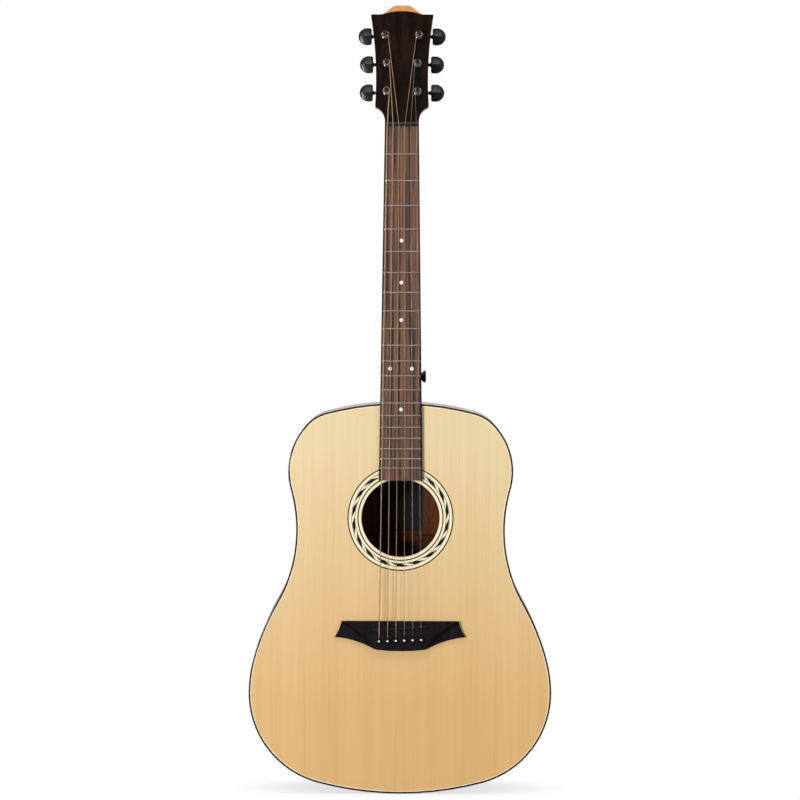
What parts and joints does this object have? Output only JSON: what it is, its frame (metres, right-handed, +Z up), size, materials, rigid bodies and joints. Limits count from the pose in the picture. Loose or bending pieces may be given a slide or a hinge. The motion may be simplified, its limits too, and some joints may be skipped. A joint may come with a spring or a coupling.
{
  "type": "acoustic guitar",
  "caption": "Steel-string dreadnought acoustic guitar with a spruce top, round sound hole, carved dark bridge, bound body and slanted headstock with geared tuners.",
  "frame": {"origin": "outer face of the tail on the centre line, at mid depth of the side, where the end pin hole opens", "axes": "+Z up the neck to the headstock, -Y out of the soundboard, +X to the treble side"},
  "size_m": [0.3962, 0.1331, 1.0321],
  "materials": {
    "spruce_top": "clear satin lacquer",
    "spruce_inside": "bare sanded wood",
    "mahogany": "satin lacquer",
    "mahogany_inside": "bare sanded wood",
    "fingerboard_wood": "oiled, striped grain",
    "dark_wood": "satin",
    "bridge_wood": "satin, close grained",
    "binding_brown": "polished",
    "cream_inlay": "polished",
    "dark_inlay": "polished",
    "maple": "clear lacquer",
    "black_plastic": "smooth",
    "tuner_black": "black plated",
    "steel": "bright",
    "fret_metal": "polished",
    "bronze": "wound wire",
    "label_paper": "dark, plain"
  },
  "bodies": {
    "guitar": {"top_plate": "spruce_top", "rosette_light": "cream_inlay", "rosette_dark": "dark_inlay", "back_plate": "mahogany", "side_bass": "mahogany", "side_treble": "mahogany", "binding": "binding_brown", "purfling": "cream_inlay", "linings": "spruce_inside", "neck_block": "mahogany_inside", "tail_block": "mahogany_inside", "bridge_plate": "maple", "top_braces": "spruce_inside", "back_braces": "mahogany_inside", "label": "label_paper", "bridge": "bridge_wood", "saddle": "black_plastic", "neck": "mahogany", "truss_rod": "steel", "fingerboard": "fingerboard_wood", "fingerboard_binding": "dark_inlay", "frets": "fret_metal", "position_dots": "cream_inlay", "nut": "black_plastic", "headstock_veneer": "dark_wood", "headstock_cap": "maple", "heel_cap": "binding_brown", "strap_button": "tuner_black", "strap_button_screw": "tuner_black", "tuner_housings": "tuner_black", "tuner_bushings": "tuner_black", "tuner_screws": "tuner_black", "plain_strings": "steel", "wound_strings": "bronze", "string_ball_ends": "bronze"},
    "tuner_key_1": {"tuner_button_1": "tuner_black", "worm_shaft_1": "steel"},
    "post_1": {"string_post_1": "tuner_black"},
    "pin_1": {"bridge_pin_1": "black_plastic"},
    "tuner_key_2": {"tuner_button_2": "tuner_black", "worm_shaft_2": "steel"},
    "post_2": {"string_post_2": "tuner_black"},
    "pin_2": {"bridge_pin_2": "black_plastic"},
    "tuner_key_3": {"tuner_button_3": "tuner_black", "worm_shaft_3": "steel"},
    "post_3": {"string_post_3": "tuner_black"},
    "pin_3": {"bridge_pin_3": "black_plastic"},
    "tuner_key_4": {"tuner_button_4": "tuner_black", "worm_shaft_4": "steel"},
    "post_4": {"string_post_4": "tuner_black"},
    "pin_4": {"bridge_pin_4": "black_plastic"},
    "tuner_key_5": {"tuner_button_5": "tuner_black", "worm_shaft_5": "steel"},
    "post_5": {"string_post_5": "tuner_black"},
    "pin_5": {"bridge_pin_5": "black_plastic"},
    "tuner_key_6": {"tuner_button_6": "tuner_black", "worm_shaft_6": "steel"},
    "post_6": {"string_post_6": "tuner_black"},
    "pin_6": {"bridge_pin_6": "black_plastic"},
    "rod_nut": {"truss_rod_nut": "steel"}
  },
  "joints": [
    {"name": "tuner_turn_1", "type": "hinge", "parent": "guitar", "child": "tuner_key_1", "pos_m": [-0.0202, -0.02745, 0.91745], "axis": [-1, 0, 0], "continuous": true},
    {"name": "post_turn_1", "type": "hinge", "parent": "guitar", "child": "post_1", "pos_m": [-0.0202, -0.0522, 0.9178], "axis": [0, -0.9703, 0.2419], "continuous": true},
    {"name": "tuner_turn_2", "type": "hinge", "parent": "guitar", "child": "tuner_key_2", "pos_m": [-0.02, -0.01811, 0.9549], "axis": [-1, 0, 0], "continuous": true},
    {"name": "post_turn_2", "type": "hinge", "parent": "guitar", "child": "post_2", "pos_m": [-0.02, -0.04286, 0.95525], "axis": [0, -0.9703, 0.2419], "continuous": true},
    {"name": "tuner_turn_3", "type": "hinge", "parent": "guitar", "child": "tuner_key_3", "pos_m": [-0.0221, -0.00877, 0.99235], "axis": [-1, 0, 0], "continuous": true},
    {"name": "post_turn_3", "type": "hinge", "parent": "guitar", "child": "post_3", "pos_m": [-0.0221, -0.03353, 0.9927], "axis": [0, -0.9703, 0.2419], "continuous": true},
    {"name": "tuner_turn_4", "type": "hinge", "parent": "guitar", "child": "tuner_key_4", "pos_m": [0.0221, -0.00877, 0.99235], "axis": [1, 0, 0], "continuous": true},
    {"name": "post_turn_4", "type": "hinge", "parent": "guitar", "child": "post_4", "pos_m": [0.0221, -0.03353, 0.9927], "axis": [0, -0.9703, 0.2419], "continuous": true},
    {"name": "tuner_turn_5", "type": "hinge", "parent": "guitar", "child": "tuner_key_5", "pos_m": [0.02, -0.01811, 0.9549], "axis": [1, 0, 0], "continuous": true},
    {"name": "post_turn_5", "type": "hinge", "parent": "guitar", "child": "post_5", "pos_m": [0.02, -0.04286, 0.95525], "axis": [0, -0.9703, 0.2419], "continuous": true},
    {"name": "tuner_turn_6", "type": "hinge", "parent": "guitar", "child": "tuner_key_6", "pos_m": [0.0202, -0.02745, 0.91745], "axis": [1, 0, 0], "continuous": true},
    {"name": "post_turn_6", "type": "hinge", "parent": "guitar", "child": "post_6", "pos_m": [0.0202, -0.0522, 0.9178], "axis": [0, -0.9703, 0.2419], "continuous": true},
    {"name": "bridge_pin_pull_1", "type": "slide", "parent": "guitar", "child": "pin_1", "axis": [0, -1, 0], "range_m": [0, 0.026]},
    {"name": "bridge_pin_pull_2", "type": "slide", "parent": "guitar", "child": "pin_2", "axis": [0, -1, 0], "range_m": [0, 0.026]},
    {"name": "bridge_pin_pull_3", "type": "slide", "parent": "guitar", "child": "pin_3", "axis": [0, -1, 0], "range_m": [0, 0.026]},
    {"name": "bridge_pin_pull_4", "type": "slide", "parent": "guitar", "child": "pin_4", "axis": [0, -1, 0], "range_m": [0, 0.026]},
    {"name": "bridge_pin_pull_5", "type": "slide", "parent": "guitar", "child": "pin_5", "axis": [0, -1, 0], "range_m": [0, 0.026]},
    {"name": "bridge_pin_pull_6", "type": "slide", "parent": "guitar", "child": "pin_6", "axis": [0, -1, 0], "range_m": [0, 0.026]},
    {"name": "truss_rod_turn", "type": "hinge", "parent": "guitar", "child": "rod_nut", "pos_m": [0, -0.053, 0.43834], "axis": [0, 0, 1], "range_deg": [-180, 180]}
  ],
  "couplings": [
    {"joint": "post_turn_1", "follows": "tuner_turn_1", "ratio": 0.055556},
    {"joint": "post_turn_2", "follows": "tuner_turn_2", "ratio": 0.055556},
    {"joint": "post_turn_3", "follows": "tuner_turn_3", "ratio": 0.055556},
    {"joint": "post_turn_4", "follows": "tuner_turn_4", "ratio": -0.055556},
    {"joint": "post_turn_5", "follows": "tuner_turn_5", "ratio": -0.055556},
    {"joint": "post_turn_6", "follows": "tuner_turn_6", "ratio": -0.055556}
  ]
}
